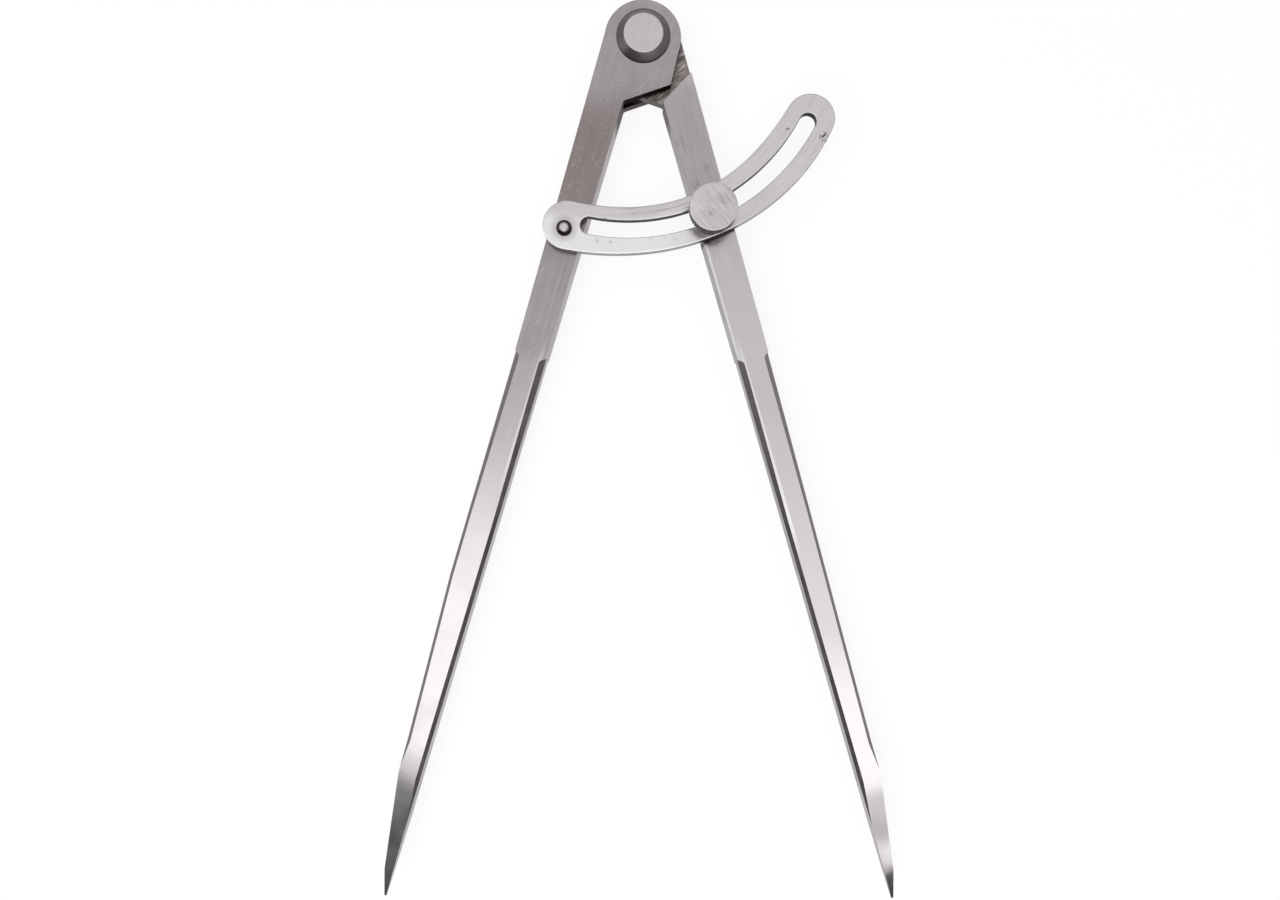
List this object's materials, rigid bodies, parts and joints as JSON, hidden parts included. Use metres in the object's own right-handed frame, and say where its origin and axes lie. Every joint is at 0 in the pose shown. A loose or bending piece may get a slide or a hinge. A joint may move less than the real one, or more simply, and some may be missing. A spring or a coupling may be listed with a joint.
{
  "type": "wing divider",
  "caption": "Steel wing divider: pointed legs on a riveted fork joint, with a slotted curved wing and a knurled thumb screw that locks the setting.",
  "frame": {"origin": "on the pivot axis, at the flat back of the pivot burr", "axes": "+X to the right leg's side, +Y from the points to the head, +Z out of the front, which carries the wing and the thumb screw"},
  "size_m": [0.1427, 0.2502, 0.0168],
  "materials": {
    "leg_steel": "forged steel, ground lengthwise, lightly stained",
    "bright_steel": "bare steel, finely ground",
    "dark_steel": "bare steel, dulled"
  },
  "bodies": {
    "left_leg": {"left_leg": "leg_steel", "pivot_rivet": "bright_steel", "pivot_burr": "dark_steel", "wing_rivet": "dark_steel"},
    "right_leg": {"right_leg": "leg_steel"},
    "wing": {"wing": "bright_steel"},
    "clamp_washer": {"clamp_washer": "bright_steel"},
    "thumb_screw": {"thumb_knob": "bright_steel", "clamp_stud": "dark_steel"}
  },
  "joints": [
    {"name": "leg_open", "type": "hinge", "parent": "left_leg", "child": "right_leg", "pos_m": [0, 0, 0], "axis": [0, 0, 1], "range_deg": [-32.84, 38]},
    {"name": "wing_swing", "type": "hinge", "parent": "left_leg", "child": "wing", "pos_m": [-0.02165, -0.05383, 0], "axis": [0, 0, 1], "range_deg": [-2.66, 2.3]},
    {"name": "knob_lift", "type": "slide", "parent": "right_leg", "child": "clamp_washer", "axis": [0, 0, 1], "range_m": [0, 0.00105]},
    {"name": "knob_turn", "type": "hinge", "parent": "clamp_washer", "child": "thumb_screw", "pos_m": [0.01868, -0.04965, 0], "axis": [0, 0, 1], "range_deg": [0, 540.1]}
  ],
  "couplings": [
    {"joint": "wing_swing", "follows": "leg_open", "ratio": -0.07},
    {"joint": "knob_turn", "follows": "knob_lift", "rad_per_m": 8976}
  ]
}
